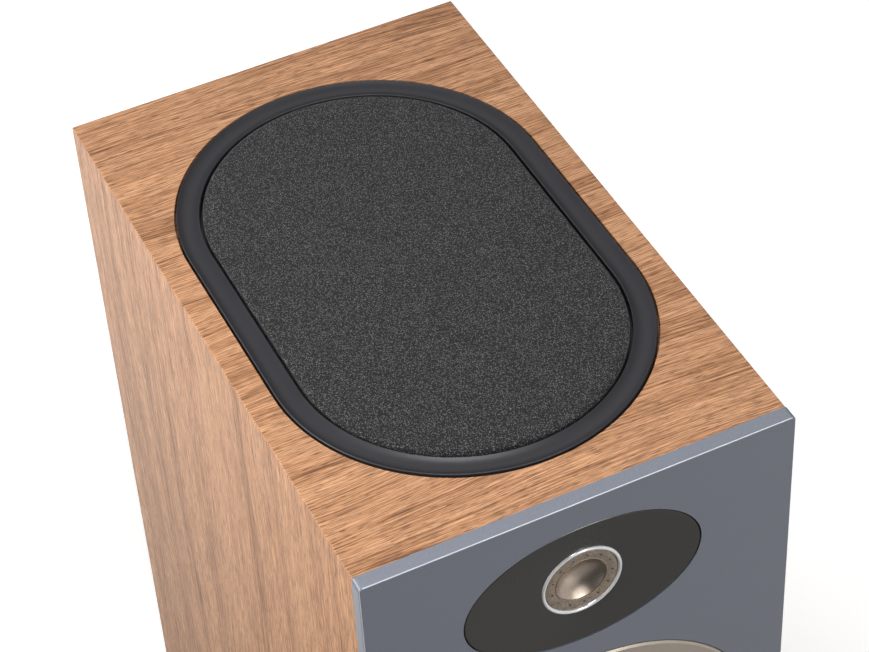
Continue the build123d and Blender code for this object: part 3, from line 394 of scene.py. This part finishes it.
materials = {
    "veneer_top": veneer("veneer_top", "X", "Y", 3.0, *WALNUT_TOP),
    "veneer_side": veneer("veneer_side", "Z", "Y", 11.0, *WALNUT_SIDE),
    "veneer_side_right": veneer("veneer_side_right", "Z", "Y", 23.0, *WALNUT_SIDE),
    "veneer_back": veneer("veneer_back", "Z", "X", 31.0, *WALNUT_SIDE),
    "raw_board": moulded("raw_board", (0.32, 0.21, 0.13), 0.85, 1.0, 0.08, 0.25),
    "panel_paint": painted_board("panel_paint", (0.165, 0.180, 0.218)),
    "felt": felt("felt", (0.16, 0.16, 0.17)),
    "foot_rubber": rubber("foot_rubber", (0.018, 0.018, 0.018), 0.6),
    "trim_plastic": moulded("trim_plastic", (0.020, 0.020, 0.024), 0.42, 3.0, 0.006),
    "inner_plastic": moulded("inner_plastic", (0.018, 0.018, 0.019), 0.5, 1.2, 0.04),
    "grille_knit": knit("grille_knit", (0.002, 0.002, 0.002), (0.155, 0.155, 0.155)),
    "small_magnet": brushed("small_magnet", (0.62, 0.62, 0.60), 0.25, (2.0, 2.0, 2.0)),
    "cast_alloy": moulded("cast_alloy", (0.03, 0.03, 0.032), 0.5, 1.5, 0.05),
    "surround_rubber": rubber("surround_rubber", (0.014, 0.014, 0.014), 0.45),
    "cone_woofer": woven_cone("cone_woofer", (0.085, 0.080, 0.074), "Z"),
    "cone_height": woven_cone("cone_height", (0.085, 0.080, 0.074), "Y"),
    "cap_metal": spun_dome("cap_metal", (0.44, 0.39, 0.33)),
    "coil_front": winding("coil_front", (0.72, 0.30, 0.13), "Y"),
    "coil_upright": winding("coil_upright", (0.72, 0.30, 0.13), "Z"),
    "spider_cloth": resin_cloth("spider_cloth", (0.48, 0.33, 0.13)),
    "motor_steel": brushed("motor_steel", (0.52, 0.52, 0.50), 0.35, (0.8, 0.8, 0.8)),
    "ferrite": moulded("ferrite", (0.045, 0.045, 0.048), 0.62, 0.8, 0.08, 0.2),
    "ring_taupe": brushed("ring_taupe", (0.52, 0.450, 0.375), 0.42, (0.7, 0.7, 0.7), 0.55, 0.003),
    "plate_charcoal": moulded("plate_charcoal", (0.037, 0.035, 0.032), 0.30, 2.6, 0.004, 0.05),
    # Painted reflection: the polished ring gets a near-white base colour and is only partly metallic, so its
    # brightness is painted in rather than reflected.
    "polished_ring": brushed("polished_ring", (0.97, 0.97, 0.97), 0.10, (1.2, 1.2, 1.2), 0.45, 0.001),
    "dimpled_surround": pressed_foam("dimpled_surround", (0.27, 0.21, 0.158)),
    "dome_metal": spun_dome("dome_metal", (0.62, 0.52, 0.43)),
    "terminal_plastic": moulded("terminal_plastic", (0.016, 0.016, 0.017), 0.3, 2.4, 0.01),
    "stem_metal": brushed("stem_metal", (0.78, 0.56, 0.24), 0.22, (0.4, 3.0, 0.4)),
    "knob_black": moulded("knob_black", (0.014, 0.014, 0.015), 0.24, 2.8, 0.006),
    "knob_red": moulded("knob_red", (0.36, 0.012, 0.012), 0.24, 2.8, 0.006),
    "circuit_board": moulded("circuit_board", (0.015, 0.09, 0.035), 0.35, 0.6, 0.03, 0.3),
    "capacitor_sleeve": moulded("capacitor_sleeve", (0.42, 0.30, 0.05), 0.28, 0.7, 0.02, 0.15),
    "lead_sleeve": moulded("lead_sleeve", (0.02, 0.02, 0.02), 0.35, 1.2, 0.02),
    "screw_steel": brushed("screw_steel", (0.11, 0.11, 0.12), 0.32, (1.5, 1.5, 1.5)),
}

node_materials = {
    "side_panel_left": "veneer_side", "side_panel_right": "veneer_side_right", "top_panel": "veneer_top",
    "bottom_panel": "veneer_top", "back_panel": "veneer_back", "crossover_inductors": "coil_upright",
    "woofer_cone": "cone_woofer", "height_cone": "cone_height", "woofer_voice_coil": "coil_front",
    "tweeter_voice_coil": "coil_front", "height_voice_coil": "coil_upright",
}
for number in range(1, 5):
    node_materials[f"post_washer_{number}"] = "stem_metal"
for part in frame["record"]["subparts"]:
    chosen = node_materials.get(part["node"], part["material_slot"])
    slots = nodes[part["node"]].data.materials
    slots.clear()
    slots.append(materials[chosen])


# ---------------------------------------------------------------- pieces in place of soft CAD solids
def new_piece(name, mesh, material, body=None):
    piece = bpy.data.objects.new(name, mesh)
    scene.collection.objects.link(piece)
    mesh.materials.append(materials[material])
    for face in mesh.polygons:
        face.use_smooth = True
    if body:
        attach(piece, body)
    return piece


def mesh_of(name, points, faces):
    mesh = bpy.data.meshes.new(name)
    mesh.from_pydata([tuple(MM * value for value in point) for point in points], [], faces)
    work = bmesh.new()
    work.from_mesh(mesh)
    bmesh.ops.recalc_face_normals(work, faces=work.faces)
    work.to_mesh(mesh)
    work.free()
    return mesh


def stadium_loop(radius, height, end_steps=48, straight_steps=20):
    """Points round a stadium at one distance from its spine."""
    loop = []
    for side in (1, -1):
        for step in range(end_steps):
            angle = math.pi * step / end_steps + (0 if side == 1 else math.pi)
            loop.append((radius * math.cos(angle), OPENING_Y + side * OPENING_HALF_STRAIGHT
                         + radius * math.sin(angle), height))
        for step in range(straight_steps):
            y = side * OPENING_HALF_STRAIGHT * (1 - 2 * step / straight_steps)
            loop.append((-side * radius, OPENING_Y + y, height))
    return loop


def grille_cloth():
    """The cloth stretched over its frame: a slightly crowned top, a rolled edge and a short skirt."""
    rings = [(CLOTH_RADIUS, CLOTH_SKIRT), (CLOTH_RADIUS, -2.6), (CLOTH_RADIUS, CLOTH_TOP - CLOTH_EDGE)]
    for step in range(1, 7):
        angle = math.pi / 2 * step / 6
        rings.append((CLOTH_RADIUS - CLOTH_EDGE * (1 - math.cos(angle)),
                      CLOTH_TOP - CLOTH_EDGE * (1 - math.sin(angle)) - 0.05))
    for step in range(1, 25):
        radius = (CLOTH_RADIUS - CLOTH_EDGE) * (1 - step / 24)
        rings.append((max(radius, 0.02), CLOTH_TOP - 0.05 * (radius / CLOTH_RADIUS) ** 4))
    loops = [stadium_loop(radius, CASE_TOP + height) for radius, height in rings]
    count = len(loops[0])
    points = [point for loop in loops for point in loop]
    faces = []
    for level in range(len(loops) - 1):
        for step in range(count):
            after = (step + 1) % count
            faces.append((level * count + step, level * count + after, (level + 1) * count + after,
                          (level + 1) * count + step))
    mesh = mesh_of("grille_knit", points, faces)
    piece = new_piece("grille_knit_cover", mesh, "grille_knit", "grille")
    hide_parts("grille_cloth")
    return piece


def lathe(frame_matrix, outline, turns, shift=None):
    """A closed (radius, height) outline in millimetres turned about the frame's Z."""
    points = []
    for turn in range(turns):
        angle = 2 * math.pi * turn / turns
        for radius, height in outline:
            extra = shift(radius, angle, height) if shift else 0.0
            local = Vector((radius * math.cos(angle), radius * math.sin(angle), height + extra))
            points.append(tuple(frame_matrix @ local))
    count = len(outline)
    faces = []
    for turn in range(turns):
        after = (turn + 1) % turns
        for step in range(count):
            ahead = (step + 1) % count
            faces.append((turn * count + step, turn * count + ahead, after * count + ahead,
                          after * count + step))
    return points, faces


def frame_at(origin, x_axis, z_axis):
    x, z = Vector(x_axis), Vector(z_axis)
    y = z.cross(x)
    turned = Matrix((x, y, z)).transposed().to_4x4()
    return Matrix.Translation(Vector(origin)) @ turned


woofer_frame = frame_at((0, PANEL_FRONT + WOOFER_FLANGE_DEPTH, WOOFER_Z), (1, 0, 0), (0, -1, 0))
tweeter_frame = frame_at((0, PANEL_FRONT, TWEETER_Z), (1, 0, 0), (0, -1, 0))
up_slope = Vector((0, -math.sin(TILT), math.cos(TILT)))
height_frame = frame_at(Vector((0, OPENING_Y, FLOOR_HEIGHT)) + HEIGHT_FLANGE * up_slope, (1, 0, 0), up_slope)


def bend_with_cone(piece):
    """Bakes the piece's placement into its mesh; the piece does not bend or follow the cone."""
    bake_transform(piece)


def half_roll(seat_drop, rubber_thickness, glue, roll_inner, roll_outer, edge, rise):
    """A closed outline of a half-roll surround with flat lands either side."""
    low = -seat_drop
    middle = (roll_inner + roll_outer) / 2
    half = (roll_outer - roll_inner) / 2
    upper, lower = [], []
    for step in range(21):
        angle = math.pi * step / 20
        across = middle + half * math.cos(angle)
        upper.append((across, low + rubber_thickness + rise * math.sin(angle) ** 0.9))
        lower.append((across, low + rise * math.sin(angle) ** 0.9))
    rib = roll_inner - 0.9
    top = low + rubber_thickness
    outline = [(edge, low), (edge, top), *upper, (rib, top + 0.25), (rib - 0.6, top + 0.25),
               (glue, top), (glue, low), (rib, low)]
    return outline + lower[::-1]


def surround_piece(name, node, place, sizes):
    outline = half_roll(**sizes)
    mesh = mesh_of(name, *lathe(place, outline, 160))
    piece = new_piece(name, mesh, "surround_rubber")
    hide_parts(node)
    bend_with_cone(piece)


def corrugated(inner, landing, edge, level, waves, rise):
    """A closed outline of a thin disc with round corrugations between its glued edges."""
    cloth = 0.5
    start = inner + SPIDER_GLUE
    upper = [(inner, level)]
    steps = waves * 8
    for step in range(steps + 1):
        across = start + (landing - start) * step / steps
        upper.append((across, level + rise * math.sin(math.pi * waves * step / steps)))
    upper.append((edge, level))
    return upper + [(radius, height - cloth) for radius, height in reversed(upper)]


def spider_piece(name, node, place, sizes):
    mesh = mesh_of(name, *lathe(place, corrugated(**sizes), 96))
    piece = new_piece(name, mesh, "spider_cloth")
    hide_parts(node)
    bend_with_cone(piece)


def tweeter_surround():
    """A foam ring with pressed dimples and a thin rolled lip round the dome."""
    def pressed(radius, angle, height):
        if height < -3.0:
            return 0.0
        steps = round((angle - FIRST_DIMPLE) / (2 * math.pi) * DIMPLES)
        nearest = FIRST_DIMPLE + steps * 2 * math.pi / DIMPLES
        dx = radius * math.cos(angle) - DIMPLE_CIRCLE * math.cos(nearest)
        dy = radius * math.sin(angle) - DIMPLE_CIRCLE * math.sin(nearest)
        distance = math.hypot(dx, dy) / DIMPLE_RADIUS
        return -DIMPLE_DEPTH * (1 - distance * distance) ** 2 if distance < 1 else 0.0

    top = []
    for step in range(40):
        share = step / 39
        bulge = math.sin(math.pi * share ** 0.8)
        top.append((FOAM_OUTER + (FOAM_INNER - FOAM_OUTER) * share, -2.40 + 0.42 * bulge - 0.12 * share))
    lip = [(13.0, -2.42), (12.9, -2.16), (12.65, -2.08), (12.45, -2.2), (12.35, -2.9)]
    outline = [(FOAM_OUTER, FOAM_SEAT), *top, *lip, (FOAM_INNER, -3.02), (16.2, FOAM_SEAT)]
    mesh = mesh_of("tweeter_foam", *lathe(tweeter_frame, outline, 288, pressed))
    piece = new_piece("tweeter_foam_ring", mesh, "dimpled_surround")
    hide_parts("tweeter_surround")
    bend_with_cone(piece)


def felt_pads():
    """Loose felt pads on the inner walls, with soft edges and a slack surface."""
    low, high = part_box("felt_lining")
    thickness = FELT_THICKNESS * MM
    pads = {
        "felt_pad_left": ((low.x, -0.147, low.z), (low.x + thickness, 0.131, 0.268)),
        "felt_pad_right": ((high.x - thickness, -0.147, low.z), (high.x, 0.131, 0.268)),
        "felt_pad_back": ((-0.070, high.y - thickness, 0.290), (0.070, high.y, high.z)),
    }
    for index, (name, (corner, far)) in enumerate(pads.items()):
        corner, far = Vector(corner), Vector(far)
        work = bmesh.new()
        bmesh.ops.create_cube(work, size=1.0)
        size = far - corner
        middle = (far + corner) / 2
        for vertex in work.verts:
            vertex.co = Vector([middle[i] + vertex.co[i] * size[i] * 0.97 for i in range(3)])
        bmesh.ops.subdivide_edges(work, edges=work.edges[:], cuts=24, use_grid_fill=True)
        thin = min(range(3), key=lambda axis: size[axis])
        wide = [axis for axis in range(3) if axis != thin]
        for vertex in work.verts:
            reach = [abs(vertex.co[axis] - middle[axis]) / (size[axis] / 2) for axis in wide]
            edge = max(reach)
            soft = 1.0 - 0.45 * max(0.0, (edge - 0.86) / 0.11) ** 2
            ripple = 0.03 * math.sin(61 * vertex.co[wide[0]] + index) * math.cos(47 * vertex.co[wide[1]])
            offset = vertex.co[thin] - middle[thin]
            vertex.co[thin] = middle[thin] + offset * (soft + ripple - 0.03)
        mesh = bpy.data.meshes.new(name)
        work.to_mesh(mesh)
        work.free()
        piece = new_piece(name, mesh, "felt", "cabinet")
        if index == 0:
            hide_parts("felt_lining")


grille_cloth()
surround_piece("woofer_rubber_roll", "woofer_surround", woofer_frame,
               dict(seat_drop=1.6, rubber_thickness=0.8, glue=59.2, roll_inner=61.5, roll_outer=72.5,
                    edge=76.3, rise=4.6))
surround_piece("height_rubber_roll", "height_surround", height_frame,
               dict(seat_drop=1.3, rubber_thickness=0.7, glue=43.2, roll_inner=45.0, roll_outer=54.0,
                    edge=57.5, rise=3.6))
spider_piece("woofer_spider_disc", "woofer_spider", woofer_frame,
             dict(inner=16.95, landing=43.5, edge=47.7, level=-36.0, waves=9, rise=0.75))
spider_piece("height_spider_disc", "height_spider", height_frame,
             dict(inner=12.95, landing=32.0, edge=35.7, level=-26.0, waves=7, rise=0.6))
tweeter_surround()
felt_pads()


# ---------------------------------------------------------------- floor, light and camera
def stage_floor():
    g = Graph("stage_floor")
    wide = g.noise(g.place, 0.002, 2)
    tone = g.mix(wide, (0.86, 0.86, 0.86), (0.90, 0.90, 0.90))
    g.finish(tone, g.span(wide, 0.0, 1.0, 0.6, 0.7), Specular_IOR_Level=0.2, Emission_Strength=0.42)
    g.shader.inputs["Emission Color"].default_value = (1, 1, 1, 1)
    mesh = bpy.data.meshes.new("stage_floor")
    work = bmesh.new()
    bmesh.ops.create_circle(work, cap_ends=True, radius=14.0, segments=96)
    work.to_mesh(mesh)
    work.free()
    floor = bpy.data.objects.new("stage_floor", mesh)
    scene.collection.objects.link(floor)
    mesh.materials.append(g.material)
    floor.visible_diffuse = False
    floor.visible_glossy = False


def studio_world():
    """Dim surroundings with soft glows in front, behind and at the sides, and plain white to look at."""
    world = bpy.data.worlds.new("studio")
    scene.world = world
    world.use_nodes = True
    tree = world.node_tree
    tree.nodes.clear()
    place = tree.nodes.new("ShaderNodeTexCoord")
    total = None
    for direction, low, bright in GLOWS:
        towards = tree.nodes.new("ShaderNodeVectorMath")
        towards.operation = "DOT_PRODUCT"
        towards.inputs[1].default_value = direction
        tree.links.new(place.outputs["Generated"], towards.inputs[0])
        glow = tree.nodes.new("ShaderNodeMapRange")
        glow.interpolation_type = "SMOOTHSTEP"
        glow.inputs["From Min"].default_value = low
        glow.inputs["From Max"].default_value = 1.0
        glow.inputs["To Min"].default_value = 0.0
        glow.inputs["To Max"].default_value = bright
        tree.links.new(towards.outputs["Value"], glow.inputs["Value"])
        add = tree.nodes.new("ShaderNodeMath")
        add.inputs[1].default_value = AMBIENT
        tree.links.new(glow.outputs[0], add.inputs[0])
        if total is not None:
            tree.links.new(total, add.inputs[1])
        total = add.outputs[0]
    path = tree.nodes.new("ShaderNodeLightPath")
    seen = tree.nodes.new("ShaderNodeMix")
    seen.data_type = "FLOAT"
    seen.inputs[3].default_value = 0.95
    tree.links.new(path.outputs["Is Camera Ray"], seen.inputs[0])
    tree.links.new(total, seen.inputs[2])
    background = tree.nodes.new("ShaderNodeBackground")
    tree.links.new(seen.outputs[0], background.inputs["Strength"])
    output = tree.nodes.new("ShaderNodeOutputWorld")
    tree.links.new(background.outputs[0], output.inputs[0])


def soft_box(name, place, target, size, power):
    light = bpy.data.lights.new(name, "AREA")
    light.shape = "RECTANGLE"
    light.size, light.size_y = size
    light.energy = power
    lamp = bpy.data.objects.new(name, light)
    scene.collection.objects.link(lamp)
    lamp.location = place
    lamp.rotation_euler = (Vector(target) - Vector(place)).to_track_quat("-Z", "Y").to_euler()


stage_floor()
studio_world()
soft_box("key", (0.62, -1.50, 1.53), CENTRE, (0.36, 0.36), 3)
soft_box("left", (-0.70, 0.02, 0.72), (-0.10, 0.0, 0.40), (0.35, 0.35), 5.0)
soft_box("rim", (0.62, 1.60, 1.33), CENTRE, (1.1, 0.5), 0.8)
soft_box("top", (-0.10, -0.20, 1.15), (-0.04, -0.12, 0.44), (0.30, 0.30), 3.3)

camera_data = bpy.data.cameras.new("camera")
camera_data.sensor_width = 36.0
camera_data.lens = 114.32
camera_data.clip_start = 0.05
camera_data.clip_end = 60.0
camera = bpy.data.objects.new("camera", camera_data)
scene.collection.objects.link(camera)
camera.location = (-0.36615, -0.88473, 1.31266)
camera.rotation_euler = (math.radians(45.8846), math.radians(2.6569), math.radians(-25.8851))
scene.camera = camera
scene.view_settings.view_transform = "Standard"
scene.view_settings.look = "None"
